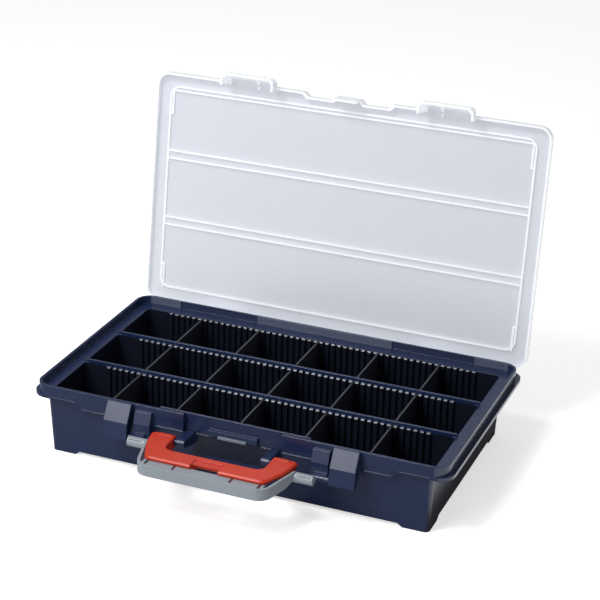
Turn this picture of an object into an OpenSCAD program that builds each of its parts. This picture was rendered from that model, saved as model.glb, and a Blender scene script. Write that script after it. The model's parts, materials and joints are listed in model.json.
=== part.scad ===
// Parts organiser case: a moulded tub with eighteen compartments, a clear hinged lid,
// two front latches and a carrying handle made of a grip and a frame.
// Frame: the origin is on the tub's underside below the middle of the rim, X to the right,
// Y to the back, Z up, so the feet reach below zero. The case stands open, with its latches
// upright and the handle drawn out level.

/* [Rim] */
// Length of the rim over its lip, left to right
rim_length = 465; // [440:1:490]
// Depth of the rim over its lip, front to back
rim_depth = 264; // [256:1:280]
// Height of the rim's top edge above the tub's underside
rim_height = 75.8; // [74:0.1:81]
// Height of the upright lip above the inner ledge
lip_height = 8.8; // [7:0.1:9.6]
// Thickness of the upright lip
lip_wall = 3; // [2:0.1:3.6]
// Outer radius of the lip's corners
rim_corner = 17; // [10:0.5:22]
// Outer radius of the flange's corners
flange_corner = 17.5; // [12:0.5:24]
// How far the flange at the sides and back stands out beyond the lip
flange_out = 4.5; // [3.6:0.1:5.4]
// Depth from the rim's top edge to the top of the flange
flange_drop = 11.3; // [10.8:0.1:12]
// Thickness of the flange's sheet
flange_wall = 2.2; // [1.6:0.1:3]
// Height of the flange's turned-down edge
flange_edge = 1.8; // [1:0.1:4]
// Height of the front apron in the middle, from the rim's top edge down
apron_height = 21.4; // [20:0.1:24]
// How much shallower the apron is towards the corners
apron_step = 7.2; // [3:0.1:8]
// Distance from the rim's end at which the apron changes height
apron_step_in = 53.5; // [42:0.5:60]
// Length over which the apron changes height
apron_step_length = 10.5; // [6:0.5:16]
// Height of the raised bead along the apron's lower edge
bead_height = 1.5; // [1:0.1:2.4]
// How far that bead stands out of the apron
bead_out = 0.7; // [0.4:0.1:1]

/* [Front centre] */
// Half the length of the stretch of rim that is set back behind the handle
centre_half = 55.5; // [52:0.5:60]
// Half the length of the inner lip behind that stretch
centre_lip_half = 85; // [78:1:95]
// How far the stretch is set back from the rim's front face
centre_setback = 5.5; // [4:0.1:6]
// Thickness of the inner lip behind that stretch
centre_lip_wall = 2.2; // [1.6:0.1:2.6]
// Half the length of the catch block under the middle of the rim
catch_half = 27.7; // [20:0.1:34]
// Depth from the rim's top edge to the top of the catch block
catch_drop = 12.6; // [12:0.1:14]
// Height of the catch block
catch_height = 6.6; // [5:0.1:8]
// Half the length of the bar on the catch block
catch_bar_half = 15.8; // [12:0.1:18]
// Height of that bar
catch_bar_height = 2.3; // [1.6:0.1:3]
// How far the bar stands out of the block
catch_bar_out = 2.5; // [1.5:0.1:3.5]

/* [Tub] */
// How far the side walls stand in from the lip
side_inset = 14.3; // [12:0.1:17]
// How far the front wall stands in from the lip
front_inset = 3.2; // [2:0.1:4]
// How far the back wall stands in from the lip
rear_inset = 13.8; // [12:0.1:18]
// How far the walls draw in from the rim to the floor of the tub
draft = 2.7; // [1:0.1:5]
// Thickness of the side walls at the rim
wall = 2.6; // [2:0.1:3.4]
// Thickness of the back wall at the rim
rear_wall = 4.3; // [2.4:0.1:4.4]
// Thickness of the double front wall at the rim
front_wall = 5.3; // [4.6:0.1:6]
// Thickness of the tub's floor
floor_wall = 2.6; // [1.8:0.1:4]
// Outer radius of the upright corners
tub_corner = 5.5; // [4:0.5:14]
// Radius of the upright corners inside the rows
pocket_corner = 5; // [2:0.5:10]
// Height of the corner feet
foot_height = 3.8; // [2:0.1:5]
// Length of each foot along the wall
foot_length = 28.5; // [15:0.5:40]
// Length of the slope at the inner end of each foot
foot_slope = 5; // [2:0.5:10]

/* [Compartments] */
// Thickness of the long moulded partitions
partition_wall = 2.6; // [2:0.1:3.4]
// Depth from the rim's top edge to the top of the partitions
partition_drop = 5.1; // [4.4:0.1:6.4]
// Distance from one guide rib to the next
rib_pitch = 7.29; // [6.9:0.01:7.5]
// Number of guide ribs on each face
rib_count = 52; // [44:2:52]
// Width of a guide rib
rib_width = 4.2; // [3.6:0.1:4.6]
// How far a guide rib stands out of its wall
rib_depth = 2.4; // [1.6:0.1:3]
// Depth from the rim's top edge to the top of the guide ribs
rib_drop = 8.9; // [8.9:0.1:12]
// Chamfer on the upper end of each guide rib
rib_chamfer = 1.3; // [0.6:0.1:2]
// Number of guide ribs between one divider and the next
ribs_per_column = 10; // [8:1:10]
// Thickness of a divider
divider_wall = 2.2; // [1.6:0.1:2.6]
// Gap between a divider's ends and the walls
divider_play = 0.3; // [0.2:0.1:0.6]
// Radius of a divider's lower corners
divider_corner = 4; // [2:0.5:8]

/* [Lid] */
// How far the lid's ends stand out beyond the rim
lid_side_out = 3.2; // [2.6:0.1:4]
// Angle at which the lid stands open, from closed
open_angle = 98; // [92:0.5:104]
// Thickness of the lid's panel
lid_panel = 2; // [1.6:0.1:2.6]
// Gap between the closed panel and the top of the lip
lid_gap = 1.2; // [0.6:0.1:1.6]
// Height of the lid's edge, from the top of the panel down
lid_edge = 8.5; // [7:0.1:9]
// Thickness of the lid's edge
lid_wall = 2.2; // [1.6:0.1:2.4]
// How far the lid's front edge stands out beyond the rim
lid_front_out = 6.5; // [5.5:0.1:7.5]
// How far the lid's back edge stands out beyond the rim
lid_rear_out = 4.6; // [4:0.1:5]
// Outer radius of the lid's corners
lid_corner = 15; // [10:0.5:20]
// Width of the ribs inside the lid
lid_rib = 1.9; // [1.2:0.1:2.4]
// Height of the ribs inside the lid
lid_rib_height = 2.5; // [1.5:0.1:3.5]
// Distance between the two ribs that meet each partition
lid_rib_pair = 9.1; // [7:0.1:11]
// How far each pair lies behind its partition
lid_rib_shift = 2.3; // [0:0.1:4]
// Distance from the rim's outer face to the ring of ribs at the sides
ring_side = 12.5; // [11:0.1:16]
// Gap between the inner lip and the ring of ribs at the front
ring_gap = 0.6; // [0.4:0.1:1.5]
// Distance from the rim's outer face to the ring of ribs at the back
ring_rear = 12.5; // [9:0.1:16]
// Length of the short second ribs at the lid's corners
short_rib = 29; // [20:1:60]
// Width over the ring and a short rib
short_span = 5.2; // [4.8:0.1:9]
// Distance from the ring at the front to the long rib behind it
second_rib = 4.6; // [3:0.1:8]

/* [Latches] */
// Distance from the rim's end to the middle of each latch
latch_in = 104.75; // [101:0.25:108]
// Width of a latch
latch_width = 27.7; // [25:0.1:29]
// Thickness of a latch's front
latch_wall = 2.4; // [1.8:0.1:3]
// How far the latch's top edge stands out in front of the rim
latch_top_out = 4; // [3.6:0.1:4.4]
// How far the latch's crease stands out in front of the rim
latch_crease_out = 14.6; // [14:0.1:15]
// How far the latch's lower edge stands out in front of the rim
latch_foot_out = 18; // [17:0.1:19]
// Height of the latch's top edge above the rim's top edge
latch_rise = 0.4; // [0.3:0.1:0.8]
// Height from the latch's top edge down to its crease
latch_slope_height = 18.2; // [17:0.1:19]
// Height of the latch from its top edge to its lower edge
latch_height = 36.2; // [35:0.1:38]
// Height of the latch's pin above its lower edge
latch_pin_rise = 2.4; // [2:0.1:4]
// How far the latch's pin lies behind its lower edge
latch_pin_in = 6; // [5.6:0.1:7]
// Radius of the latch pins and the lid's hinge pins
pin_radius = 2; // [1.5:0.05:2.2]
// Radial clearance of every pin in its bore
pin_clear = 0.05; // [0.02:0.01:0.09]
// Radius of the bosses that hold the latch pins
latch_boss = 4; // [3.6:0.1:4.4]
// Length of each boss along its wedge block
latch_boss_length = 14; // [8:0.5:18]
// Radius of the barrel inside each latch
latch_barrel = 3.4; // [3:0.1:3.8]
// Width of the wedge block beside each latch
block_width = 18.8; // [16:0.1:18.8]
// Gap between a wedge block and its latch
block_gap = 4; // [3.8:0.1:5]
// Depth from the rim's top edge to the top of a wedge block
block_drop = 5.8; // [5:0.1:7]
// How far a wedge block stands out in front of the rim at its lower edge
block_out = 9; // [8:0.1:10]
// Height of the hook along the top of a latch
latch_hook = 3; // [2:0.1:4]

/* [Latch tabs on the lid] */
// Distance from the middle of a latch to the inner end of its tab
tab_inner = 42.25; // [38:0.25:42.25]
// Distance from the middle of a latch to the outer end of its tab
tab_outer = 22.75; // [21.5:0.25:26]
// How much each end of a tab slants in from its lower edge up to the panel
tab_draft = 4.5; // [0:0.5:4.5]
// How far the tabs stand out beyond the lid's front edge
tab_out = 11.8; // [11.6:0.1:12.8]
// Height from the top of the panel down to the tab's lower edge
tab_height = 25; // [20:0.1:25]
// Height from the top of the panel down to the tab's upright face
tab_slope = 14; // [10:0.1:15]
// Chamfer on the inner front corner of each tab
tab_inner_chamfer = 3.5; // [2:0.1:5]
// Chamfer on the outer front corner of each tab
tab_outer_chamfer = 5; // [3:0.1:6]
// Gap between a latch and the two ribs inside its tab
tab_rib_gap = 3.1; // [2:0.1:3.6]
// Half the width of the middle tab
middle_tab_half = 14.5; // [10:0.1:15]
// Half the length of the stretch of the lid's front edge that is set back
lid_notch_half = 48; // [44:0.5:50]
// How far that stretch is set back
lid_notch = 5; // [3:0.1:5.5]

/* [Hinge] */
// How far the hinge axis lies behind the rim
hinge_out = 6; // [5.8:0.1:7]
// Depth from the rim's top edge to the hinge axis
hinge_drop = 12; // [11:0.1:13]
// Outer radius of the hinge knuckles
knuckle = 4.5; // [3.6:0.1:4.5]
// Distance from the rim's end to the middle of each hinge
hinge_in = 100.5; // [90:0.5:115]
// Length of each hinge
hinge_length = 80; // [60:1:90]
// Length of each of the tub's two knuckles in a hinge
tub_knuckle = 16; // [10:0.5:22]
// Gap between neighbouring knuckles
knuckle_gap = 0.5; // [0.3:0.1:1]

/* [Handle] */
// How far the grip's pivot lies in front of the rim
grip_pivot_out = 21.5; // [20.5:0.1:23]
// Height of the grip's pivot above the tub's underside
grip_pivot_z = 54; // [53:0.1:55]
// Distance from the middle of the case to the outer face of each lug
lug_at = 52.5; // [48:0.5:53]
// Width of a lug
lug_width = 9.5; // [6:0.5:12]
// Outer radius of a lug's end
lug_radius = 4.5; // [4:0.1:5]
// Radius of the stub on each lug that carries the grip
stub_radius = 3.4; // [2.6:0.1:3.6]
// Length of that stub
stub_length = 14; // [8:0.5:18]
// Gap between the lug and the grip's arm
arm_gap = 2.5; // [1.5:0.5:5]
// How far the grip's widest point lies inside the frame's outer face
grip_half_in = 2.2; // [1.5:0.1:4.5]
// How far the grip's front corners lie inside the frame's front corners
grip_front_in = 3; // [2:0.1:5]
// Reach of the grip from its pivot to its front edge
grip_reach = 49.5; // [47:0.5:50]
// Reach of the grip behind its pivot
grip_behind = 4; // [3:0.5:6]
// Width of the grip's front bar
grip_bar = 21.8; // [16:0.1:24]
// Radius of the grip's front corners
grip_corner = 8; // [6:0.5:14]
// Radius of the two inner corners of the grip
grip_fillet = 9; // [5:0.5:14]
// Distance from the pivot to the shoulder on the grip's slanting side
shoulder_at = 23; // [18:0.5:30]
// How far the grip is drawn in at that shoulder
shoulder_in = 5; // [3:0.1:6]
// Height of the grip's top above its pivot
grip_top = 5.8; // [5.2:0.1:7]
// Thickness of the grip's plate
grip_plate = 3.7; // [3:0.1:3.7]
// Bevel along the grip's upper edges
grip_bevel = 1.5; // [0.5:0.1:2]
// Depth of the grip's body below its pivot
grip_body = 6; // [4:0.5:7]
// Half the length of the finger notch in the grip's front edge
grip_notch_half = 15.5; // [10:0.5:24]
// Depth of the finger notch
grip_notch = 6.1; // [2:0.1:7]
// Depth front to back of the shallow pocket behind the notch
notch_pocket = 9.4; // [5:0.1:11]
// Depth front to back of the hollow under that pocket
notch_hollow = 12; // [4:0.5:12]

/* [Handle frame] */
// How far the frame's pivot lies in front of the grip's pivot
frame_pivot_out = 9.5; // [9:0.1:10]
// How far the frame's pivot lies below the grip's pivot
frame_pivot_drop = 4.5; // [4.2:0.1:5]
// Reach of the frame from the grip's pivot to its front face
frame_reach = 60.8; // [59:0.1:63]
// Half the width of the frame across its front corners
frame_front_half = 71; // [68:0.5:74]
// Half the width of the frame at its pivots
frame_half = 84; // [83:0.5:86]
// Outer radius of the frame's front corners
frame_corner = 15; // [10:0.5:18]
// Thickness of the frame's band
band_wall = 2.6; // [2:0.1:3]
// Height of the frame's band
band_height = 12.6; // [11:0.1:16]
// Depth from the grip's top to the top of the band
band_drop = 4; // [4:0.1:5]
// Length of the slope that takes the band's lower edge up to the knuckle
band_slope = 17; // [12:0.5:22]
// Width of the web inside the band
web_width = 13; // [8:0.5:14]
// Thickness of the web
web_wall = 1.8; // [1.2:0.1:2.4]
// Gap between the web and the grip's body
web_gap = 1.2; // [0.8:0.1:2]
// Distance from the middle to the first slot in the web
slot_at = 31.5; // [24:0.5:36]
// Distance from the middle to the second slot in the web
second_slot_at = 62; // [54:0.5:63]
// Width of the slots in the web
slot_width = 2.8; // [1.4:0.1:3.4]
// Half the length of the web
web_half = 66.5; // [65:0.5:70]
// Distance from the frame's front face to the back of the web at its ends
web_back = 18; // [14:0.5:24]
// Outer radius of the frame's knuckles
frame_knuckle = 5.4; // [4.6:0.1:6]
// Length of the frame's knuckles outside the band
frame_knuckle_length = 19.5; // [14:0.5:21]
// Radius of the grip's trunnions inside the frame's knuckles
trunnion_radius = 2.5; // [1.8:0.1:3]

/* [Hidden] */
navy = [0.17, 0.19, 0.29];
clear_plastic = [0.86, 0.89, 0.92, 0.6];
red = [0.80, 0.24, 0.13];
grey = [0.60, 0.63, 0.66];
divider_grey = [0.10, 0.11, 0.15];
steel = [0.72, 0.73, 0.75];

rim_x = rim_length / 2;
rim_y = rim_depth / 2;
ledge_z = rim_height - lip_height;
flange_z = rim_height - flange_drop;
apron_z = rim_height - apron_height;
partition_z = rim_height - partition_drop;
rib_z = rim_height - rib_drop;
tub_floor = floor_wall;
wall_x = rim_x - side_inset;
wall_front = -rim_y + front_inset;
wall_rear = rim_y - rear_inset;
inner_front = wall_front + front_wall;
inner_rear = wall_rear - rear_wall;
row_depth = (inner_rear - inner_front - 2 * partition_wall) / 3;
row_step = row_depth + partition_wall;
function row_front(row) = inner_front + row * row_step;
function partition_y(n) = row_front(n) - partition_wall / 2;
draw_in = draft * (ledge_z - tub_floor) / ledge_z;

apron_step_at = rim_x - apron_step_in;
centre_y = -rim_y + centre_setback;
catch_top = rim_height - catch_drop;
catch_face = -rim_y + 1;
catch_bar_face = catch_face - catch_bar_out;
catch_bar_z = apron_z + 1.6;
tall = rim_height + 40;

hinge_at = rim_x - hinge_in;
hinge_y = rim_y + hinge_out;
hinge_z = rim_height - hinge_drop;
bore_radius = pin_radius + pin_clear;

panel_z = rim_height + lid_gap;
lid_top = panel_z + lid_panel;
lid_x = rim_x + lid_side_out;
lid_front = -rim_y - lid_front_out;
lid_rear = rim_y + lid_rear_out;
lid_edge_z = lid_top - lid_edge;
tab_front = lid_front - tab_out;
tab_z = lid_top - tab_height;
tab_face_z = lid_top - tab_slope;
ring_x = rim_x - ring_side;
ring_y0 = centre_y + centre_lip_wall + ring_gap;
ring_y1 = rim_y - ring_rear;

latch_at = rim_x - latch_in;
tab_from = latch_at - tab_inner;
tab_to = latch_at + tab_outer;
latch_top = rim_height + latch_rise;
latch_crease = latch_top - latch_slope_height;
latch_foot = latch_top - latch_height;
latch_back = -rim_y - 0.4;
latch_pivot_y = -rim_y - latch_foot_out + latch_pin_in;
latch_pivot_z = latch_foot + latch_pin_rise;
lug_gap = 0.6;
block_to = latch_at - latch_width / 2 - block_gap;
latch_pin_from = block_to - latch_boss_length + 2;
latch_pin_to = latch_at + latch_width / 2 - 1;
bead_from = latch_at + latch_width / 2 + 1.5;

grip_y = -rim_y - grip_pivot_out;
grip_z = grip_pivot_z;
grip_top_z = grip_z + grip_top;
grip_plate_z = grip_top_z - grip_plate;
grip_half = frame_half - grip_half_in;
grip_front_half = frame_front_half - grip_front_in;
grip_back = grip_y + grip_behind;
grip_front = grip_y - grip_reach;
grip_inner_y = grip_front + grip_bar;
arm_inner = lug_at + arm_gap;
grip_core_z = grip_z - grip_body;
core_half = frame_half - band_wall - web_gap;
core_front = grip_front + 7;
frame_y = grip_y - frame_pivot_out;
frame_z = grip_z - frame_pivot_drop;
frame_front = grip_y - frame_reach;
frame_knuckle_to = frame_half + frame_knuckle_length;
band_top = grip_top_z - band_drop;
band_bottom = band_top - band_height;
web_top = band_top - 0.4;
core_step = frame_y - 10.5;
trunnion_bore = trunnion_radius + pin_clear;
knuckle_cap = 3;
corner_set = 0.8;
corner_lean = 10;

// A round stretch of an outline
function arc(x, y, r, from, to, steps = 8) =
    [for (i = [0:steps]) [x + r * cos(from + (to - from) * i / steps),
                          y + r * sin(from + (to - from) * i / steps)]];

// The outline of a rectangle with round corners
function round_rect(x0, x1, y0, y1, r) = concat(
    arc(x1 - r, y1 - r, r, 0, 90), arc(x0 + r, y1 - r, r, 90, 180),
    arc(x0 + r, y0 + r, r, 180, 270), arc(x1 - r, y0 + r, r, 270, 360));

module slab(x, y0, y1, r, z0, z1) {
    translate([0, 0, z0])
        linear_extrude(z1 - z0)
            polygon(round_rect(-x, x, y0, y1, r));
}

// A profile drawn in Y and Z, carried along X
module along_x(x0, x1) {
    translate([x0, 0, 0])
        rotate([90, 0, 90])
            linear_extrude(x1 - x0)
                children();
}

module rod(x0, x1, y, z, r) {
    translate([x0, y, z])
        rotate([0, 90, 0])
            cylinder(h = x1 - x0, r = r, $fn = 48);
}

module both_sides() {
    children();
    mirror([1, 0, 0]) children();
}

// ---- tub -------------------------------------------------------------

// The drafted outside of the tub, still solid
module tub_block() {
    hull() {
        slab(wall_x - draft, wall_front + draft, wall_rear - draft, tub_corner,
             0, 0.1);
        slab(wall_x, wall_front, wall_rear, tub_corner, ledge_z - 0.1, ledge_z);
    }
}

// The four corner feet: a low slab with a sloping channel cut each way
module feet() {
    x = wall_x - draft;
    y0 = wall_front + draft;
    y1 = wall_rear - draft;
    far = rim_length;
    below = -foot_height;
    difference() {
        slab(x, y0, y1, tub_corner, -foot_height, 0.05);
        translate([0, far / 2, 0])
            rotate([90, 0, 0])
                linear_extrude(far)
                    polygon([[-x + foot_length, below - 1], [x - foot_length, below - 1],
                             [x - foot_length, below], [x - foot_length - foot_slope, 0],
                             [-x + foot_length + foot_slope, 0], [-x + foot_length, below]]);
        along_x(-far / 2, far / 2)
            polygon([[y0 + foot_length, below - 1], [y1 - foot_length, below - 1],
                     [y1 - foot_length, below], [y1 - foot_length - foot_slope, 0],
                     [y0 + foot_length + foot_slope, 0], [y0 + foot_length, below]]);
    }
}

// One row of compartments before its dividers go in
module row_pocket(row) {
    y0 = row_front(row);
    y1 = y0 + row_depth;
    hull() {
        slab(wall_x - wall - draw_in, y0, y1, pocket_corner, tub_floor, tub_floor + 0.1);
        slab(wall_x - wall, y0, y1, pocket_corner, ledge_z, ledge_z + 0.1);
    }
}

// A comb of guide ribs that points to +Y from the wall at y = 0
module rib_comb() {
    root = 0.8;
    half = rib_width / 2;
    start = -(rib_count - 1) / 2 * rib_pitch;
    teeth = [for (i = [0:rib_count - 1]) let (x = start + i * rib_pitch)
             each [[x - half, 0], [x - half, rib_depth], [x + half, rib_depth], [x + half, 0]]];
    end = start + (rib_count - 1) * rib_pitch + half;
    difference() {
        translate([0, 0, tub_floor - 0.5])
            linear_extrude(rib_z - tub_floor + 0.5)
                polygon(concat(teeth, [[end, -root], [start - half, -root]]));
        along_x(start - rib_pitch, end + rib_pitch)
            polygon([[rib_depth - rib_chamfer, rib_z], [rib_depth, rib_z - rib_chamfer],
                     [rib_depth + 1, rib_z - rib_chamfer], [rib_depth + 1, rib_z + 1],
                     [rib_depth - rib_chamfer, rib_z + 1]]);
    }
}

// The combs on the two long walls of every row
module guide_ribs() {
    for (row = [0:2]) {
        translate([0, row_front(row), 0]) rib_comb();
        translate([0, row_front(row) + row_depth, 0]) mirror([0, 1, 0]) rib_comb();
    }
}

// The upright lip, cut back at the centre and thinner in front of the hinges
module lip() {
    thin_beyond = 9;
    thin_cut = 1.2;
    x = rim_x - lip_wall;
    y = rim_y - lip_wall;
    translate([0, 0, ledge_z - 0.5])
        linear_extrude(lip_height + 0.5)
            difference() {
                polygon(round_rect(-rim_x, rim_x, -rim_y, rim_y, rim_corner));
                polygon(round_rect(-x, x, -y, y, rim_corner - lip_wall));
                for (side = [-1, 1])
                    translate([side * hinge_at, y])
                        square([hinge_length + 2 * thin_beyond, 2 * thin_cut], center = true);
            }
    translate([-centre_lip_half, centre_y, ledge_z - 0.5])
        cube([2 * centre_lip_half, centre_lip_wall, lip_height + 0.5]);
}

// The flange round the sides and back, with its edge turned down
module flange() {
    x = rim_x + flange_out;
    y1 = rim_y + flange_out;
    r = flange_corner;
    slab(x, -rim_y, y1, r, flange_z - flange_wall, flange_z);
    translate([0, 0, flange_z - flange_wall - flange_edge])
        linear_extrude(flange_edge + 0.5)
            difference() {
                polygon(round_rect(-x, x, -rim_y, y1, r));
                polygon(round_rect(-x + flange_wall, x - flange_wall,
                                   -rim_y + flange_wall, y1 - flange_wall, r - flange_wall));
            }
}

// The front apron, shallower towards the corners
module apron() {
    x = rim_x - rim_corner;
    steps = 8;
    a = apron_step_at;
    b = apron_step_length / 2;
    side = [for (i = [0:steps]) let (t = i / steps)
            [a - b + 2 * b * t, apron_z + apron_step * (1 - cos(180 * t)) / 2]];
    other = [for (i = [steps:-1:0]) [-side[i][0], side[i][1]]];
    translate([0, -rim_y + flange_wall, 0])
        rotate([90, 0, 0])
            linear_extrude(flange_wall)
                polygon(concat([[-x, ledge_z], [-x, apron_z + apron_step]], other, side,
                               [[x, apron_z + apron_step], [x, ledge_z]]));
    edge = concat([[bead_from, apron_z]], side, [[x, apron_z + apron_step]]);
    last = len(edge) - 1;
    both_sides() {
        translate([0, -rim_y + 0.5, 0])
            rotate([90, 0, 0])
                linear_extrude(0.5 + bead_out)
                    polygon(concat(edge, [for (i = [last:-1:0]) edge[i] + [0, bead_height]]));
        translate([centre_half, -rim_y - bead_out, apron_z])
            cube([block_to - block_width + 1 - centre_half, bead_out + 0.5, bead_height]);
    }
}

module partition_ridges() {
    for (n = [1, 2])
        translate([-wall_x + wall - 0.5, partition_y(n) - partition_wall / 2, ledge_z - 1])
            cube([2 * (wall_x - wall) + 1, partition_wall, partition_z - ledge_z + 1]);
}

// The block under the middle of the rim that the lid's middle tab reaches
module catch_block() {
    translate([-catch_half, catch_face, catch_top - catch_height])
        cube([2 * catch_half, centre_y + 1 - catch_face, catch_height]);
    translate([-catch_bar_half, catch_bar_face, catch_bar_z])
        cube([2 * catch_bar_half, centre_y + 1 - catch_bar_face, catch_bar_height]);
}

// The wedge block beside a latch, with the boss that holds the latch pin
module latch_mounts() {
    bottom = latch_foot + 0.5;
    along_x(block_to - block_width, block_to)
        polygon([[wall_front + 1, rim_height - block_drop], [-rim_y - 3.3, rim_height - block_drop],
                 [-rim_y - block_out + 1.2, latch_crease - 0.6], [-rim_y - block_out, bottom],
                 [wall_front + 1, bottom - 6]]);
    rod(block_to - latch_boss_length, latch_at - latch_width / 2 - lug_gap,
        latch_pivot_y, latch_pivot_z, latch_boss);
    // The boss stands on a web from the wall
    along_x(block_to - latch_boss_length, block_to)
        polygon([[wall_front + 1, latch_crease - 4], [latch_pivot_y, latch_pivot_z + latch_boss],
                 [latch_pivot_y, latch_pivot_z - latch_boss], [wall_front + 1, bottom - 8]]);
}

// The lug and stub that carry one arm of the grip
module handle_lug() {
    along_x(lug_at - lug_width, lug_at)
        polygon([[wall_front + 1, apron_z + 1.5], [centre_y, apron_z + 1.5],
                 [grip_y, grip_z + lug_radius], [grip_y, grip_z - lug_radius],
                 [wall_front + 1, grip_z - 11]]);
    rod(lug_at - lug_width, lug_at, grip_y, grip_z, lug_radius);
    rod(lug_at - 1, lug_at + arm_gap + stub_length, grip_y, grip_z, stub_radius);
}

// The tub's two knuckles of one hinge
module tub_knuckles() {
    start = hinge_at - hinge_length / 2;
    end = hinge_at + hinge_length / 2;
    for (x = [start, end - tub_knuckle]) {
        rod(x, x + tub_knuckle, hinge_y, hinge_z, knuckle);
        along_x(x, x + tub_knuckle)
            polygon([[rim_y + 1, flange_z - 0.5], [rim_y + 1, flange_z - 6],
                     [hinge_y, hinge_z - knuckle], [hinge_y, hinge_z]]);
    }
}

module tub() {
    lid_start = hinge_at - hinge_length / 2 + tub_knuckle;
    lid_end = hinge_at + hinge_length / 2 - tub_knuckle;
    color(navy)
        difference() {
            union() {
                difference() {
                    union() {
                        tub_block();
                        slab(rim_x, -rim_y, rim_y, rim_corner, flange_z - flange_wall, ledge_z);
                        apron();
                        flange();
                        lip();
                        partition_ridges();
                    }
                    for (row = [0:2]) row_pocket(row);
                    // The stretch behind the handle is set back
                    translate([-centre_half, -rim_y - 1, apron_z])
                        cube([2 * centre_half, centre_setback + 1, tall]);
                    // Room for the lid's knuckles in the flange
                    both_sides()
                        rod(lid_start, lid_end, hinge_y, hinge_z, knuckle + 0.9);
                }
                feet();
                guide_ribs();
                catch_block();
                both_sides() {
                    latch_mounts();
                    handle_lug();
                    tub_knuckles();
                }
            }
            both_sides() {
                rod(latch_pin_from, latch_at, latch_pivot_y, latch_pivot_z, bore_radius);
                rod(hinge_at - hinge_length / 2 - 1, hinge_at + hinge_length / 2 + 1,
                    hinge_y, hinge_z, bore_radius);
            }
        }
}

// ---- dividers --------------------------------------------------------

// A lift-out divider in a row, standing in the slots beside the given column
module divider(row, column) {
    y0 = row_front(row) + divider_play;
    y1 = row_front(row) + row_depth - divider_play;
    x = (column - 3) * ribs_per_column * rib_pitch;
    r = divider_corner;
    color(divider_grey)
        along_x(x - divider_wall / 2, x + divider_wall / 2)
            polygon(concat([[y1, rib_z], [y0, rib_z]],
                           arc(y0 + r, tub_floor + r, r, 180, 270),
                           arc(y1 - r, tub_floor + r, r, 270, 360)));
}

// ---- lid -------------------------------------------------------------

// The outline of the lid seen from above, with its front edge set back at the middle
function lid_outline(inset) =
    let (x = lid_x - inset, y0 = lid_front + inset, y1 = lid_rear - inset, r = lid_corner - inset,
         n = lid_notch_half + inset, m = middle_tab_half - inset, s = lid_notch)
    concat(arc(x - r, y1 - r, r, 0, 90), arc(-x + r, y1 - r, r, 90, 180),
           arc(-x + r, y0 + r, r, 180, 270),
           [[-n - s, y0], [-n, y0 + s], [-m - s, y0 + s], [-m, y0], [m, y0], [m + s, y0 + s],
            [n, y0 + s], [n + s, y0]],
           arc(x - r, y0 + r, r, 270, 360));

// The plan of one hood over a latch, drawn in by a given amount
function tab_plan(inset) =
    let (x0 = tab_from + inset, x1 = tab_to - inset, y0 = tab_front + inset,
         a = tab_inner_chamfer, b = tab_outer_chamfer, y1 = lid_front + lid_wall + inset)
    [[x0, y1], [x0, y0 + a], [x0 + a, y0], [x1 - b, y0], [x1, y0 + b], [x1, y1]];

// The section of the hood in Y and Z, drawn in by a given amount
function tab_section(inset) =
    let (y1 = lid_front + lid_wall + inset, z1 = lid_top - (inset > 0 ? lid_panel : 0),
         z0 = tab_z - (inset > 0 ? 1 : 0), y0 = tab_front + inset)
    [[y1, z1], [lid_front - 3 + inset / 3, z1], [y0, tab_face_z - inset / 3], [y0, z0], [y1, z0]];

module tab_solid(inset) {
    x0 = tab_from + inset;
    x1 = tab_to - inset;
    intersection() {
        // The slanting ends
        rotate([90, 0, 0])
            linear_extrude(1 - tab_front)
                polygon([[x0, tab_z - 1], [x1, tab_z - 1], [x1 - tab_draft, lid_top],
                         [x0 + tab_draft, lid_top]]);
        along_x(tab_from - 1, tab_to + 1)
            polygon(tab_section(inset));
        linear_extrude(tall)
            polygon(tab_plan(inset));
    }
}

// One hood: it leaves the panel, slopes down and ends in an upright face, open below
module latch_tab() {
    inner = lid_front - 2.2;
    face = tab_front + lid_wall;
    rib_end = -rim_y - 1.2;
    difference() {
        tab_solid(0);
        tab_solid(lid_wall);
    }
    // Two ribs inside the hood, one on each side of the latch
    for (side = [-1, 1])
        along_x(latch_at + side * (latch_width / 2 + tab_rib_gap + lid_rib / 2) - lid_rib / 2,
                latch_at + side * (latch_width / 2 + tab_rib_gap + lid_rib / 2) + lid_rib / 2)
            polygon([[inner, panel_z + 0.4], [face - 0.4, tab_face_z], [face - 0.4, tab_z + 3],
                     [face + 1, tab_z + 3], [face + 2.2, tab_face_z - 0.4], [inner + 3, panel_z - 3],
                     [rib_end, panel_z - 3], [rib_end, panel_z + 0.4]]);
}

// The ribs inside the lid: a ring, a pair over each partition and short corner ribs
module lid_ribs() {
    z = panel_z - lid_rib_height;
    h = lid_rib_height + 0.4;
    r = lid_corner - 3;
    translate([0, 0, z])
        linear_extrude(h)
            difference() {
                polygon(round_rect(-ring_x, ring_x, ring_y0, ring_y1, r));
                polygon(round_rect(-ring_x + lid_rib, ring_x - lid_rib,
                                   ring_y0 + lid_rib, ring_y1 - lid_rib, r - lid_rib));
            }
    for (n = [1, 2], side = [-1, 1])
        translate([-ring_x + 0.5,
                   partition_y(n) + lid_rib_shift + side * lid_rib_pair / 2 - lid_rib / 2, z])
            cube([2 * ring_x - 1, lid_rib, h]);
    second = ring_x - short_span;
    translate([-second, ring_y0 + second_rib, z])
        cube([2 * second, lid_rib, h]);
    both_sides() {
        for (y = [ring_y0 + second_rib, ring_y1 - 0.5 - short_rib])
            translate([second, y, z])
                cube([lid_rib, short_rib, h]);
        // The cross pieces at the free ends of the short ribs
        for (y = [ring_y0 + second_rib + short_rib - lid_rib, ring_y1 - 0.5 - short_rib])
            translate([second, y, z])
                cube([short_span - 0.5, lid_rib, h]);
    }
}

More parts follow.
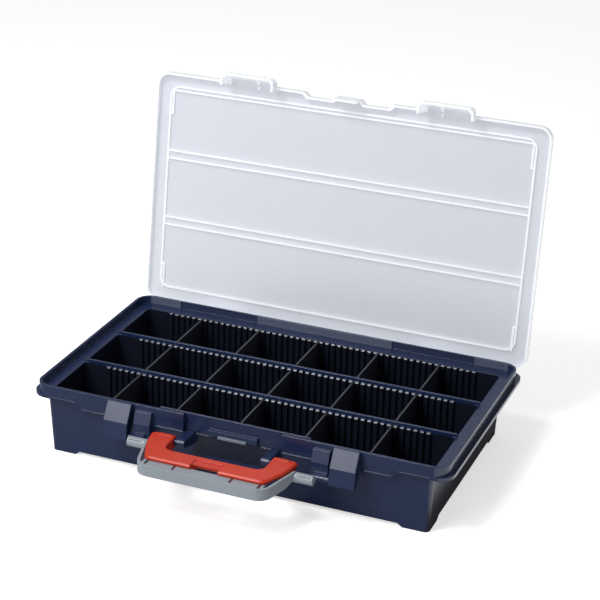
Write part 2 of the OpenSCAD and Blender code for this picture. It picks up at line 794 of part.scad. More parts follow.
// The lid's knuckle of one hinge, with the arm that joins it to the lid
module lid_knuckle() {
    x0 = hinge_at - hinge_length / 2 + tub_knuckle + knuckle_gap;
    x1 = hinge_at + hinge_length / 2 - tub_knuckle - knuckle_gap;
    rod(x0, x1, hinge_y, hinge_z, knuckle);
    along_x(x0, x1)
        polygon([[lid_rear - lid_wall, lid_top - 0.5], [lid_rear, lid_top - 0.5],
                 [hinge_y + knuckle, hinge_z], [hinge_y - 3.2, hinge_z]]);
}

// The middle tab, which hangs in front of the catch block
module middle_tab() {
    translate([-middle_tab_half, lid_front, catch_top - catch_height + 1])
        cube([2 * middle_tab_half, lid_wall, lid_top - 1 - catch_top + catch_height - 1]);
}

module lid_closed() {
    difference() {
        union() {
            translate([0, 0, panel_z])
                linear_extrude(lid_panel)
                    polygon(lid_outline(0));
            translate([0, 0, lid_edge_z])
                linear_extrude(lid_edge - 0.5)
                    difference() {
                        polygon(lid_outline(0));
                        polygon(lid_outline(lid_wall));
                    }
            lid_ribs();
            middle_tab();
            both_sides() {
                latch_tab();
                lid_knuckle();
            }
        }
        both_sides() {
            // The lid's edge is open inside each latch tab
            translate([tab_from + lid_wall + tab_draft, lid_front - 0.1, tab_z - 1])
                cube([tab_to - tab_from - 2 * (lid_wall + tab_draft), lid_wall + 0.6,
                      panel_z - tab_z + 1]);
            rod(hinge_at - hinge_length / 2, hinge_at + hinge_length / 2,
                hinge_y, hinge_z, bore_radius);
        }
    }
}

module lid() {
    color(clear_plastic)
        translate([0, hinge_y, hinge_z])
            rotate([-open_angle, 0, 0])
                translate([0, -hinge_y, -hinge_z])
                    lid_closed();
}

// ---- latches ---------------------------------------------------------

// A latch is a hollow lever: a folded front, two cheeks, a top hook and a pivot barrel
module latch(side) {
    top_y = -rim_y - latch_top_out;
    crease_y = -rim_y - latch_crease_out;
    foot_y = -rim_y - latch_foot_out;
    t = latch_wall;
    x0 = latch_at - latch_width / 2;
    x1 = latch_at + latch_width / 2;
    front = [[top_y, latch_top], [crease_y, latch_crease], [foot_y, latch_foot]];
    shell = concat(front, [[foot_y + t, latch_foot], [crease_y + t, latch_crease - 0.8],
                           [top_y + t, latch_top - latch_hook], [latch_back, latch_top - latch_hook],
                           [latch_back, latch_top]]);
    cheek = concat(front, [[latch_pivot_y, latch_foot], [latch_pivot_y + 5, latch_pivot_z],
                           [latch_back, latch_crease - 2], [latch_back, latch_top]]);
    mirror([side < 0 ? 1 : 0, 0, 0])
        color(navy)
            difference() {
                union() {
                    along_x(x0, x1)
                        polygon(shell);
                    for (x = [x0, x1 - t])
                        along_x(x, x + t)
                            polygon(cheek);
                    rod(x0, x1, latch_pivot_y, latch_pivot_z, latch_barrel);
                }
                rod(x0 - 1, latch_pin_to + 0.3, latch_pivot_y, latch_pivot_z, bore_radius);
            }
}

module latch_pin(side) {
    mirror([side < 0 ? 1 : 0, 0, 0])
        color(steel)
            rod(latch_pin_from + 0.2, latch_pin_to, latch_pivot_y, latch_pivot_z, pin_radius);
}

module hinge_pin(side) {
    mirror([side < 0 ? 1 : 0, 0, 0])
        color(steel)
            rod(hinge_at - hinge_length / 2, hinge_at + hinge_length / 2, hinge_y, hinge_z, pin_radius);
}

// ---- handle ----------------------------------------------------------

// The plan of the whole grip without its opening, drawn in by a given amount
function grip_plan(b) =
    let (x = grip_half - b, x0 = grip_front_half + 0.5 - b, y0 = grip_front + b, y1 = grip_back - b,
         r = grip_corner - b, k = 3,
         right = concat(arc(x0 - r, y0 + r, r, 270, 335, 5),
                        [[x - shoulder_in, grip_y - shoulder_at],
                         [x - 0.4 * shoulder_in, grip_y - shoulder_at / 2], [x, y1 - k], [x - k, y1]]),
         last = len(right) - 1)
    concat(right, [for (i = [last:-1:0]) [-right[i][0], right[i][1]]]);

// The plan of the opening between the arms, spread by a given amount
function opening_plan(b) =
    let (x = arm_inner + b, y = grip_inner_y - b, r = grip_fillet + b)
    concat([[x, grip_back + 1], [-x, grip_back + 1]],
           arc(-x + r, y + r, r, 180, 270, 6), arc(x - r, y + r, r, 270, 360, 6));

// The half-width of the grip's body at a given Y, just inside the frame's web
function core_side(y) = frame_half - web_width - web_gap
    - (frame_half - frame_front_half) * (frame_y - y) / (frame_y - frame_front - web_width);

// The plate of the grip with its upper edges bevelled
module grip_top_plate() {
    hull() {
        translate([0, 0, grip_plate_z])
            linear_extrude(grip_plate - grip_bevel)
                polygon(grip_plan(0));
        translate([0, 0, grip_top_z - 0.1])
            linear_extrude(0.1)
                polygon(grip_plan(grip_bevel));
    }
}

// The body of the grip under its plate, kept inside the frame
module grip_body_block() {
    translate([0, 0, grip_core_z])
        linear_extrude(grip_plate_z - grip_core_z + 0.5)
            polygon([[-core_half, grip_back - 4], [-core_half + 3, grip_back - 1],
                     [core_half - 3, grip_back - 1], [core_half, grip_back - 4],
                     [core_half, frame_y - 3], [core_side(core_step), core_step],
                     [core_side(core_front), core_front], [-core_side(core_front), core_front],
                     [-core_side(core_step), core_step], [-core_half, frame_y - 3]]);
}

module handle_grip() {
    flare = 0.8;
    notch_y = grip_front + grip_notch;
    color(red)
        difference() {
            union() {
                difference() {
                    union() {
                        grip_top_plate();
                        grip_body_block();
                    }
                    translate([0, 0, grip_core_z - 1])
                        linear_extrude(grip_z + tall)
                            polygon(opening_plan(0));
                    // The opening's upper edge is bevelled
                    hull() {
                        translate([0, 0, grip_top_z - flare])
                            linear_extrude(0.01)
                                polygon(opening_plan(0));
                        translate([0, 0, grip_top_z])
                            linear_extrude(0.01)
                                polygon(opening_plan(flare));
                    }
                    // The finger notch in the front edge, and the shallow pocket behind it
                    translate([-grip_notch_half, grip_front - 1, grip_core_z - 1])
                        cube([2 * grip_notch_half, grip_notch + 1, tall]);
                    translate([-grip_notch_half, notch_y - 1, grip_top_z - 0.7])
                        cube([2 * grip_notch_half, notch_pocket + 1, tall]);
                    // The hollow under the notch
                    translate([-grip_notch_half, notch_y - 1, grip_core_z - 1])
                        cube([2 * grip_notch_half, notch_hollow + 1, grip_plate_z + 2.2 - grip_core_z]);
                }
                both_sides() {
                    // The trunnion that carries the frame
                    rod(core_half - 5, frame_knuckle_to - knuckle_cap - 0.6, frame_y, frame_z,
                        trunnion_radius);
                    // Raised bar on the end of the arm
                    translate([arm_inner + 2.5, grip_y - 1.5, grip_top_z - 0.5])
                        cube([15, 4, 1.1]);
                }
            }
            both_sides()
                rod(arm_inner - 1, lug_at + arm_gap + stub_length + 0.5, grip_y, grip_z,
                    stub_radius + pin_clear);
        }
}

// The outline of the frame's band, drawn in by a given amount. Each front corner is an arc that
// runs a little past the corner's width, to meet the slanting side.
function frame_outline(inset, back) =
    let (r = max(frame_corner - inset, 2), x0 = frame_front_half - inset - r * corner_set,
         x1 = frame_half - inset, y0 = frame_front + inset + r)
    concat([[x1, back], [-x1, back], [-x1, frame_y]],
           arc(-x0, y0, r, 180 + corner_lean, 270, 6), arc(x0, y0, r, 270, 360 - corner_lean, 6),
           [[x1, frame_y]]);

module handle_frame() {
    groove = 0.9;
    color(grey)
        difference() {
            union() {
                // The band
                difference() {
                    translate([0, 0, band_bottom])
                        linear_extrude(band_height)
                            difference() {
                                polygon(frame_outline(0, frame_y));
                                polygon(frame_outline(band_wall, frame_y + 9));
                            }
                    // The band's lower edge slopes up to the knuckles
                    along_x(-frame_half - 1, frame_half + 1)
                        polygon([[frame_y - band_slope, band_bottom], [frame_y + 1, frame_z - 1],
                                 [frame_y + 1, band_bottom - 1], [frame_y - band_slope, band_bottom - 1]]);
                }
                // The web inside the front of the band, cut by narrow slots
                translate([0, 0, web_top - web_wall])
                    linear_extrude(web_wall)
                        difference() {
                            polygon(frame_outline(1, frame_y));
                            polygon(frame_outline(web_width, frame_y + 9));
                            translate([-frame_half, frame_front + web_back])
                                square([2 * frame_half, frame_reach]);
                            for (side = [-1, 1])
                                translate([side * (web_half + frame_half / 2), frame_front + web_back])
                                    square([frame_half, 2 * (web_back - 8)], center = true);
                            for (x = [slot_at, second_slot_at], side = [-1, 1])
                                translate([side * x - slot_width / 2, frame_front + band_wall + 1.2])
                                    square([slot_width, web_width]);
                        }
                both_sides()
                    rod(frame_half - band_wall - 0.5, frame_knuckle_to, frame_y, frame_z, frame_knuckle);
            }
            both_sides() {
                rod(frame_half - band_wall - 2, frame_knuckle_to - knuckle_cap, frame_y, frame_z,
                    trunnion_bore);
                // Long grooves round each knuckle
                for (a = [45:90:315])
                    translate([frame_half + 3, frame_y, frame_z])
                        rotate([a, 0, 0])
                            translate([0, frame_knuckle - 1.2, -groove / 2])
                                cube([frame_knuckle_to - frame_half - 5, 3, groove]);
            }
        }
}

// ---- nodes -----------------------------------------------------------

tub();
lid();
hinge_pin(-1);  // hinge_pin_left
hinge_pin(1);  // hinge_pin_right
latch(-1);  // latch_left
latch(1);  // latch_right
latch_pin(-1);  // latch_pin_left
latch_pin(1);  // latch_pin_right
handle_grip();
handle_frame();
divider(0, 1);  // divider_front_1
divider(0, 2);  // divider_front_2
divider(0, 3);  // divider_front_3
divider(0, 4);  // divider_front_4
divider(0, 5);  // divider_front_5
divider(1, 1);  // divider_middle_1
divider(1, 2);  // divider_middle_2
divider(1, 3);  // divider_middle_3
divider(1, 4);  // divider_middle_4
divider(1, 5);  // divider_middle_5
divider(2, 1);  // divider_rear_1
divider(2, 2);  // divider_rear_2
divider(2, 3);  // divider_rear_3
divider(2, 4);  // divider_rear_4
divider(2, 5);  // divider_rear_5
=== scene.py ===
# %% [markdown]
# # An open parts organiser case
#
# The case has a dark blue tub with eighteen compartments, a clear lid on two hinges, two latches
# and a carrying handle of a red grip inside a grey frame. The CAD model gives the true shapes.
# This file gives them their plastics, their light and their camera, step by step.

import json
import math

import bpy
from mathutils import Matrix, Vector

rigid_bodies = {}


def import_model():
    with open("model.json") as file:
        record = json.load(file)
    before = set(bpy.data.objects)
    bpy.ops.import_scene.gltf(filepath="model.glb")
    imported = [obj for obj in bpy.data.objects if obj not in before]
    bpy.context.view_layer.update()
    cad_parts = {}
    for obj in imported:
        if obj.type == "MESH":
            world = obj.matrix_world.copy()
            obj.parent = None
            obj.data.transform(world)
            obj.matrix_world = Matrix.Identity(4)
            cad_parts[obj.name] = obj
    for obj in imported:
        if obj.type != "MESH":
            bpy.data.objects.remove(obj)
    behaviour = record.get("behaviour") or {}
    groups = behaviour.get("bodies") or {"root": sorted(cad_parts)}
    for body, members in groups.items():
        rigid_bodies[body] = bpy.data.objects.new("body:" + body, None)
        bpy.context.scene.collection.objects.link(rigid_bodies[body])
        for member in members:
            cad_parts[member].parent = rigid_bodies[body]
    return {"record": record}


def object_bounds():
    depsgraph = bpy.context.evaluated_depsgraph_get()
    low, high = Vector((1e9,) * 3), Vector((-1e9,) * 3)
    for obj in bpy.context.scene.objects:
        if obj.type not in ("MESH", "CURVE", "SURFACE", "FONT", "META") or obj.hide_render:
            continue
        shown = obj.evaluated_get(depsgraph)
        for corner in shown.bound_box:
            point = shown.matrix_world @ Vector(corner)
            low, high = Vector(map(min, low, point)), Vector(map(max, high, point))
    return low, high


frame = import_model()
cad_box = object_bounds()

# %% [markdown]
# ## The camera
#
# The photograph was taken with a long lens from the front right, a little above the case. The place
# and the turn of the camera were solved from the straight edges of the rim, the tub and the lid.
# A camera can be aimed by hand or with a constraint. Here it is set from a place, a point that it
# looks at and a small roll, because three named values are easy to read and to correct. Places are
# in metres. The lens and the sensor are in millimetres.

# %% Place the camera
CAMERA_PLACE = Vector((0.6878, -1.7150, 0.9785))
CAMERA_TARGET = Vector((0.0199, 0.0, 0.16745))
CAMERA_ROLL = math.radians(1.59)
LENS = 112.99
SENSOR_WIDTH = 36.0


def aimed(place, target):
    """The matrix of a camera or lamp that stands at a place and looks at a target."""
    place = Vector(place)
    turn = (Vector(target) - place).to_track_quat("-Z", "Y").to_matrix().to_4x4()
    return Matrix.Translation(place) @ turn


camera_data = bpy.data.cameras.new("camera")
camera_data.lens = LENS
camera_data.sensor_width = SENSOR_WIDTH
camera = bpy.data.objects.new("camera", camera_data)
bpy.context.scene.collection.objects.link(camera)
camera.matrix_world = aimed(CAMERA_PLACE, CAMERA_TARGET) @ Matrix.Rotation(CAMERA_ROLL, 4, "Z")
bpy.context.scene.camera = camera
print("camera distance:", round((CAMERA_TARGET - CAMERA_PLACE).length, 3), "m")

# %% [markdown]
# ## Building blocks for the node trees
#
# A material is a small graph of nodes, and it could be drawn by hand in the shader editor. In code,
# one short function for each kind of node that comes up often keeps the recipes below down to what
# they say about the plastic.

# %% Start a material and fill its sockets
def new_material(name):
    material = bpy.data.materials.new(name)
    material.use_nodes = True
    tree = material.node_tree
    tree.nodes.clear()
    output = tree.nodes.new("ShaderNodeOutputMaterial")
    return material, tree, output


def add(tree, kind, **values):
    node = tree.nodes.new(kind)
    for key, value in values.items():
        setattr(node, key, value)
    return node


def feed(tree, socket, value):
    """Wires a socket to another node's output, or sets it to a plain number or colour."""
    if isinstance(value, bpy.types.NodeSocket):
        tree.links.new(value, socket)
    else:
        socket.default_value = value


def opaque(colour):
    """The colour with the fourth number that a colour socket asks for."""
    return (*colour, 1.0)


print("helpers: new_material, add, feed, opaque")

# %% Nodes that work out a number or a colour
def calculate(tree, operation, *values, clamp=False):
    node = add(tree, "ShaderNodeMath", operation=operation, use_clamp=clamp)
    for socket, value in zip(node.inputs, values):
        feed(tree, socket, value)
    return node.outputs[0]


def remap(tree, value, source=(0.0, 1.0), target=(0.0, 1.0), kind="LINEAR"):
    """Turns the source range into the target range, and holds what lies beyond at its ends."""
    node = add(tree, "ShaderNodeMapRange", interpolation_type=kind)
    node.inputs["From Min"].default_value, node.inputs["From Max"].default_value = source
    node.inputs["To Min"].default_value, node.inputs["To Max"].default_value = target
    tree.links.new(value, node.inputs["Value"])
    return node.outputs["Result"]


def mix_colours(tree, factor, first, second):
    node = add(tree, "ShaderNodeMix", data_type="RGBA")
    for key, value in (("Factor", factor), ("A", first), ("B", second)):
        feed(tree, node.inputs[key], value)
    return node.outputs["Result"]


def rays(tree, *kinds):
    """1 for rays of any of the given kinds, such as Camera or Glossy, and 0 for the others."""
    path = add(tree, "ShaderNodeLightPath")
    result = path.outputs[f"Is {kinds[0]} Ray"]
    for kind in kinds[1:]:
        result = calculate(tree, "MAXIMUM", result, path.outputs[f"Is {kind} Ray"])
    return result


print("helpers: calculate, remap, mix_colours, rays")

# %% Nodes that follow the part's own surface
def part_place(tree):
    """Each point's place in the frame of the part, in metres."""
    return add(tree, "ShaderNodeTexCoord").outputs["Object"]


def noise(tree, place, scale, detail=2.0):
    node = add(tree, "ShaderNodeTexNoise")
    node.inputs["Scale"].default_value = scale
    node.inputs["Detail"].default_value = detail
    tree.links.new(place, node.inputs["Vector"])
    return node.outputs["Fac"]


def two_tones(tree, factor, dark, light, spread=(0.0, 1.0)):
    """A colour that goes from dark to light over the given spread of the factor."""
    node = add(tree, "ShaderNodeValToRGB")
    for element, position, colour in zip(node.color_ramp.elements, spread, (dark, light)):
        element.position = position
        element.color = opaque(colour)
    tree.links.new(factor, node.inputs["Fac"])
    return node.outputs["Color"]


print("helpers: part_place, noise, two_tones")

# %% [markdown]
# ## The studio
#
# The photograph has a plain white ground. A white floor that is lit to pure white would need so much
# light that the plastic washes out. So the floor has a pale colour and adds a glow, and the sky is
# white, for rays that come from the camera or pass through something. The soft shadow under the case
# stays.
#
# Mirror-like rays are kept apart from these. With so much white in its reflections the navy plastic
# came out too pale, so such rays meet a darker floor and a greyer sky. Only the floor past the right
# end is bright to them, and the end wall mirrors it. A studio that shows the same white to every ray
# would be simpler, and is the better start for another object.

# %% Floor
FLOOR_COLOUR = (0.80, 0.80, 0.80)
FLOOR_MIRRORED = (0.42, 0.42, 0.42)
FLOOR_GLOW = 0.60
FLOOR_HALF = 12.0
FLOOR_GAP = 0.0002
SIDE_GLOW = 1.3
SIDE_RANGE = (0.232, 0.262)

floor_height = cad_box[0][2] - FLOOR_GAP
floor_mesh = bpy.data.meshes.new("floor")
signs = [(-1, -1), (1, -1), (1, 1), (-1, 1)]
floor_corners = [(x * FLOOR_HALF, y * FLOOR_HALF, floor_height) for x, y in signs]
floor_mesh.from_pydata(floor_corners, [], [(0, 1, 2, 3)])
floor = bpy.data.objects.new("floor", floor_mesh)
bpy.context.scene.collection.objects.link(floor)
print("floor at", round(floor_height, 4), "m")

# %% Floor material
floor_material, tree, output = new_material("floor_white")
matt = add(tree, "ShaderNodeBsdfDiffuse")
floor_tone = mix_colours(tree, rays(tree, "Glossy"), opaque(FLOOR_COLOUR), opaque(FLOOR_MIRRORED))
tree.links.new(floor_tone, matt.inputs["Color"])

floor_axes = add(tree, "ShaderNodeSeparateXYZ")
tree.links.new(part_place(tree), floor_axes.inputs[0])
past_right_end = remap(tree, floor_axes.outputs["X"], SIDE_RANGE, (0.0, SIDE_GLOW), "SMOOTHSTEP")
seen_glow = calculate(tree, "MULTIPLY", rays(tree, "Camera", "Transmission"), FLOOR_GLOW)
glow_level = calculate(tree, "MULTIPLY_ADD", rays(tree, "Glossy"), past_right_end, seen_glow)
glow = add(tree, "ShaderNodeEmission")
tree.links.new(glow_level, glow.inputs["Strength"])

both = add(tree, "ShaderNodeAddShader")
tree.links.new(matt.outputs[0], both.inputs[0])
tree.links.new(glow.outputs[0], both.inputs[1])
tree.links.new(both.outputs[0], output.inputs["Surface"])
floor_mesh.materials.append(floor_material)
print("floor material:", floor_material.name)

# %% World
WHITE = (1.0, 1.0, 1.0)
SKY_GREY = (0.8, 0.8, 0.8)
SKY_LIGHT = 0.38
SKY_MIRRORED = 0.40


def sky(tree, colour, strength):
    node = add(tree, "ShaderNodeBackground")
    node.inputs["Color"].default_value = opaque(colour)
    node.inputs["Strength"].default_value = strength
    return node.outputs[0]


def choose_shader(tree, factor, first, second):
    node = add(tree, "ShaderNodeMixShader")
    for socket, value in zip(node.inputs, (factor, first, second)):
        tree.links.new(value, socket)
    return node.outputs[0]


world = bpy.data.worlds.new("studio")
world.use_nodes = True
tree = world.node_tree
tree.nodes.clear()
output = tree.nodes.new("ShaderNodeOutputWorld")
seen = choose_shader(tree, rays(tree, "Camera", "Transmission"),
                     sky(tree, SKY_GREY, SKY_LIGHT), sky(tree, WHITE, 1.0))
whole_sky = choose_shader(tree, rays(tree, "Glossy"), seen, sky(tree, SKY_GREY, SKY_MIRRORED))
tree.links.new(whole_sky, output.inputs["Surface"])
bpy.context.scene.world = world
print("world:", world.name)

# %% [markdown]
# ## The lights
#
# Upward faces in the photograph are about twice as bright as the front ones, and no edge of a shadow
# is sharp. A panel high up at the front left gives that, and a weaker one lower down on the same
# side fills the face of the case. Their size matters more than their power: a panel over half a
# metre wide, one or two metres off, blurs every shadow.

# %% Soft panels
def soft_panel(name, place, aim, size, power):
    light_data = bpy.data.lights.new(name, "AREA")
    light_data.shape = "RECTANGLE"
    light_data.size, light_data.size_y = size
    light_data.energy = power
    light = bpy.data.objects.new(name, light_data)
    bpy.context.scene.collection.objects.link(light)
    light.matrix_world = aimed(place, aim)
    return light


panels = [
    soft_panel("overhead_panel", place=(-0.62, -0.85, 1.75), aim=(0.0, 0.0, 0.0),
               size=(0.65, 0.65), power=25.0),
    soft_panel("front_panel", place=(-0.53, -1.16, 0.80), aim=(-0.02, -0.14, 0.06),
               size=(0.8, 0.4), power=6.8),
]
print("lights:", [panel.name for panel in panels])

# %% [markdown]
# ## Painted light and shade by place
#
# In a few places the navy plastic gets painted shade and painted highlights in its colour, for how
# the light falls there. Painted vertices or a second material would mean a change to the CAD mesh,
# which stays as it is. So each painted patch is an upright box in the part's own frame, and the
# shader asks of each point whether it lies inside. The box doesn't know where the camera is, so the
# painted light and shade look the same from every side.

# %% Inside a box or not
def inside_box(tree, place, low, high, edge):
    """1 inside the box and 0 outside, over a narrow edge. A limit of None leaves that side open."""
    axes = add(tree, "ShaderNodeSeparateXYZ")
    tree.links.new(place, axes.inputs[0])
    result = None
    for axis in range(3):
        for limit, outward in ((low[axis], -1.0), (high[axis], 1.0)):
            if limit is None:
                continue
            step = remap(tree, axes.outputs[axis], (limit - outward * edge, limit), (1.0, 0.0))
            result = step if result is None else calculate(tree, "MULTIPLY", result, step)
    return result


print("helpers: inside_box")

# %% [markdown]
# ## Moulded plastic
#
# All the opaque pieces but the pins are injection moulded. Up close such plastic has a fine grain
# from the mould, a colour that varies a little, and edges that are never quite sharp. An image of
# real plastic could give this, but noise worked out in place needs no unwrapping and has the right
# scale everywhere. One recipe serves for all of them, and each plastic gets its own colour, gloss
# and grain.

# %% Recipe for moulded plastic
CLOUD_SCALE = 14.0
CLOUD_DETAIL = 3.0
CLOUD_SPREAD = (0.25, 0.75)
DARKER, LIGHTER = 0.93, 1.07
GRAIN_SIZE = 0.0009
GRAIN_DEPTH = 0.0002
GLOSSIER, DULLER = 0.04, 0.06
BEVEL_SAMPLES = 4


def moulded_plastic(name, colour, roughness, grain, rounding=0.0006, shine=0.5, painted_lighting=()):
    """Colours are linear, the rounding of the edges is in metres, and grain goes from 0 to 1."""
    material, tree, output = new_material(name)
    shader = add(tree, "ShaderNodeBsdfPrincipled")
    place = part_place(tree)

    paint = two_tones(tree, noise(tree, place, CLOUD_SCALE, CLOUD_DETAIL),
                      [c * DARKER for c in colour], [min(1.0, c * LIGHTER) for c in colour],
                      CLOUD_SPREAD)
    # Painted light and shade: each box mixes its painted tone into the colour.
    for box, painted_tone in painted_lighting:
        paint = mix_colours(tree, inside_box(tree, place, *box), paint, opaque(painted_tone))
    tree.links.new(paint, shader.inputs["Base Color"])

    speck = noise(tree, place, 1.0 / GRAIN_SIZE)
    gloss = remap(tree, speck, target=(roughness - GLOSSIER, roughness + DULLER))
    tree.links.new(gloss, shader.inputs["Roughness"])
    shader.inputs["Specular IOR Level"].default_value = shine

    soft_edge = add(tree, "ShaderNodeBevel", samples=BEVEL_SAMPLES)
    soft_edge.inputs["Radius"].default_value = rounding
    bump = add(tree, "ShaderNodeBump")
    bump.inputs["Strength"].default_value = grain
    bump.inputs["Distance"].default_value = GRAIN_DEPTH
    tree.links.new(speck, bump.inputs["Height"])
    tree.links.new(soft_edge.outputs["Normal"], bump.inputs["Normal"])
    tree.links.new(bump.outputs["Normal"], shader.inputs["Normal"])
    tree.links.new(shader.outputs["BSDF"], output.inputs["Surface"])
    return material


print("grain:", GRAIN_SIZE * 1000, "mm across")

# %% [markdown]
# ## The four plastics
#
# The red, the grey and the dark dividers are plain. The navy tub is not: deep in the rows and behind
# the handle it lies in shade and is almost black, and the pads on the rear rim, the catch bar and the
# tops of the two wedges catch more light and are paler than what is round them. The two panels don't
# bring that out, so these places get painted shade and painted highlights. A place that is painted
# pale stays pale when the light changes, which is the price of it. All places are in metres.

# %% Navy and its painted light and shade
SOFT_EDGE, FINE_EDGE = 0.0015, 0.0003
WEDGE_X = (0.0905, 0.1105)


# Each box paints either shade or a highlight into the navy colour.
def painted_lighting_box(low, high, tone, edge=FINE_EDGE):
    return (low, high, edge), tone


def wedge_painted_highlight(side):
    """The painted highlight on the top of the wedge at the left (-1) or the right (1)."""
    left, right = sorted(side * x for x in WEDGE_X)
    return painted_lighting_box((left, -0.1420, 0.0570), (right, -0.1322, 0.0704), (0.034, 0.044, 0.090))


# Painted shade and painted highlights in the navy plastic.
NAVY_PAINTED_LIGHT_AND_SHADE = {
    # Painted shade deep in the rows.
    "rows": painted_lighting_box((-0.2175, -0.1260, None), (0.2175, 0.1170, 0.0670),
                  (0.008, 0.010, 0.019), SOFT_EDGE),
    # Painted highlight on the rear pads.
    "rear pads painted highlight": painted_lighting_box((-0.2220, 0.1280, 0.0672), (0.2220, 0.1300, 0.0765),
                       (0.075, 0.095, 0.150)),
    # Painted shade on the wall behind the handle.
    "behind handle painted shade": painted_lighting_box((-0.0430, -0.1295, 0.0300), (0.0430, -0.1240, 0.0560),
                           (0.005, 0.009, 0.024), SOFT_EDGE),
    # Painted highlight on the catch bar.
    "catch bar painted highlight": painted_lighting_box((-0.0162, -0.1345, 0.0556), (0.0162, -0.1290, 0.0587),
                       (0.130, 0.155, 0.200)),
    # Painted highlights on the tops of the two wedges.
    "left wedge painted highlight": wedge_painted_highlight(-1),
    "right wedge painted highlight": wedge_painted_highlight(1),
}
navy = moulded_plastic("navy_plastic", (0.010, 0.020, 0.064), roughness=0.25, grain=0.05,
                       rounding=0.0011, shine=0.45, painted_lighting=NAVY_PAINTED_LIGHT_AND_SHADE.values())
print(navy.name, "with patches:", ", ".join(NAVY_PAINTED_LIGHT_AND_SHADE))

# %% Red, grey and divider plastic
red = moulded_plastic("red_plastic", (0.500, 0.029, 0.005), roughness=0.32, grain=0.08,
                      rounding=0.0012, shine=0.4)
grey = moulded_plastic("grey_plastic", (0.248, 0.281, 0.318), roughness=0.36, grain=0.05)
dark_divider = moulded_plastic("divider_plastic", (0.018, 0.020, 0.030), roughness=0.40, grain=0.08)
print("plastics:", red.name, grey.name, dark_divider.name)

# %% [markdown]
# ## Clear plastic
#
# The lid is a clear moulding with a slight milkiness. Its flat panel only greys the white ground
# a little. Whatever stands out of the panel is seen edge on, so light has a longer way through it,
# and it looks whiter and denser. A real refraction would show this, but it is slow and noisy on thin
# sheets. Here the depth of each point below the panel's outer face chooses between the two looks.
#
# Two more touches stand for light that runs inside the sheet. The ribs give off a little light, as
# an edge does that gathers it. Where the panel's rounded normal turns away from its flat one, which
# is only at an edge, the colour is darker, and that draws the thin line round the lid.

# %% Depth below the panel
PANEL_NORMAL = (0.0, 0.9903, -0.1392)
PANEL_FACE = 0.14298
PANEL_THICKNESS = 0.002
RIB_START = (PANEL_THICKNESS + 0.0001, PANEL_THICKNESS + 0.0008)


def depth_below_panel(tree, place):
    """How far a point of the lid, as it stands open, lies below the panel's outer face, in metres."""
    height = add(tree, "ShaderNodeVectorMath", operation="DOT_PRODUCT")
    height.inputs[1].default_value = PANEL_NORMAL
    tree.links.new(place, height.inputs[0])
    return calculate(tree, "SUBTRACT", PANEL_FACE, height.outputs["Value"])


print("ribs start", round(RIB_START[0] * 1000, 2), "mm below the panel's face")

# %% Sharp edges
EDGE_ROUNDING = 0.0007
EDGE_TURN = (0.99, 0.86)


def sharp_edges(tree):
    """0 on a flat face and 1 at an edge, from how far the rounded normal turns from the face's."""
    rounded = add(tree, "ShaderNodeBevel", samples=BEVEL_SAMPLES)
    rounded.inputs["Radius"].default_value = EDGE_ROUNDING
    turn = add(tree, "ShaderNodeVectorMath", operation="DOT_PRODUCT")
    tree.links.new(rounded.outputs["Normal"], turn.inputs[0])
    tree.links.new(add(tree, "ShaderNodeNewGeometry").outputs["Normal"], turn.inputs[1])
    return remap(tree, turn.outputs["Value"], EDGE_TURN)


print("edges rounded by", EDGE_ROUNDING * 1000, "mm")

# %% Recipe for the clear moulding
MILK_SCALE = 9.0
MILK_DARKER = 0.97
EDGE_DARKER = 0.62
RIB_GLOW = 0.22
RIB_GLOW_COLOUR = (0.95, 0.97, 1.0)
CLEAR_IOR = 1.49


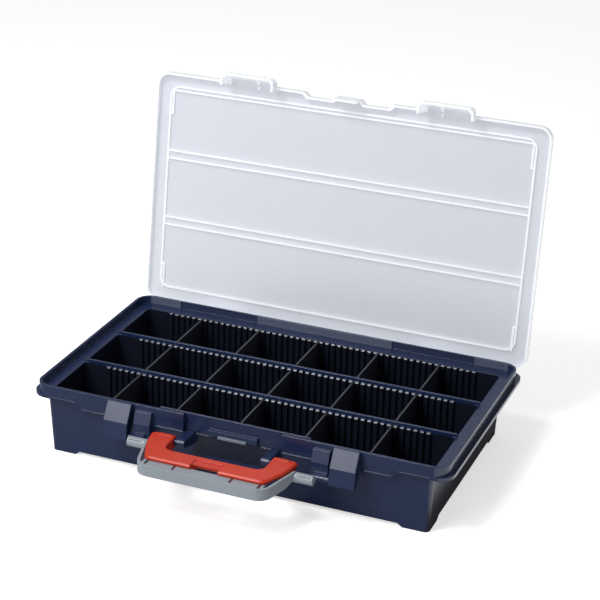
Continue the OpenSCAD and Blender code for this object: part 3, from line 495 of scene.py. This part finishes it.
def clear_moulding(name, panel_colour, rib_colour, panel_alpha, rib_alpha, roughness):
    material, tree, output = new_material(name)
    shader = add(tree, "ShaderNodeBsdfPrincipled")
    place = part_place(tree)

    raised = remap(tree, depth_below_panel(tree, place), RIB_START, kind="SMOOTHSTEP")
    flat_edge = calculate(tree, "SUBTRACT", sharp_edges(tree), raised, clamp=True)
    paint = two_tones(tree, noise(tree, place, MILK_SCALE),
                      [c * MILK_DARKER for c in panel_colour], panel_colour)
    paint = mix_colours(tree, raised, paint, opaque(rib_colour))
    paint = mix_colours(tree, flat_edge, paint, opaque([c * EDGE_DARKER for c in panel_colour]))
    tree.links.new(paint, shader.inputs["Base Color"])

    alpha = remap(tree, raised, target=(panel_alpha, rib_alpha))
    tree.links.new(alpha, shader.inputs["Alpha"])
    shader.inputs["Emission Color"].default_value = opaque(RIB_GLOW_COLOUR)
    rib_glow = remap(tree, raised, target=(0.0, RIB_GLOW))
    tree.links.new(rib_glow, shader.inputs["Emission Strength"])
    shader.inputs["Roughness"].default_value = roughness
    shader.inputs["IOR"].default_value = CLEAR_IOR
    tree.links.new(shader.outputs["BSDF"], output.inputs["Surface"])
    return material


clear = clear_moulding("clear_plastic", panel_colour=(0.655, 0.695, 0.785),
                       rib_colour=(0.93, 0.96, 1.0), panel_alpha=0.52, rib_alpha=0.62,
                       roughness=0.22)
print("clear:", clear.name)

# %% [markdown]
# ## Steel pins
#
# The latches and hinges turn on wire pins. Only their ends show, so a bright metal with fine noise
# in its tone is enough, and marks that run along the wire would never be seen.

# %% Steel
STEEL_DARK, STEEL_LIGHT = (0.52, 0.53, 0.55), (0.66, 0.67, 0.69)
STEEL_MARKS = 900.0
STEEL_ROUGHNESS = 0.28


def drawn_steel(name):
    material, tree, output = new_material(name)
    shader = add(tree, "ShaderNodeBsdfPrincipled")
    shader.inputs["Metallic"].default_value = 1.0
    shader.inputs["Roughness"].default_value = STEEL_ROUGHNESS
    marks = noise(tree, part_place(tree), STEEL_MARKS)
    tree.links.new(two_tones(tree, marks, STEEL_DARK, STEEL_LIGHT), shader.inputs["Base Color"])
    tree.links.new(shader.outputs["BSDF"], output.inputs["Surface"])
    return material


steel = drawn_steel("drawn_steel")
print("steel:", steel.name)

# %% [markdown]
# ## Dress the case
#
# The record says which material slot each node has. The materials could be given node by node, but
# the record's own list can't forget one.

# %% Give every node its finish
FINISH = {
    "navy": navy,
    "clear": clear,
    "red": red,
    "grey": grey,
    "divider": dark_divider,
    "steel": steel,
}
for part in frame["record"]["subparts"]:
    node = bpy.data.objects[part["node"]]
    node.data.materials.clear()
    node.data.materials.append(FINISH[part["material_slot"]])

# %% [markdown]
# ## Finish
#
# The view transform is set to Standard.

# %% Set the view transform
bpy.context.scene.view_settings.view_transform = "Standard"
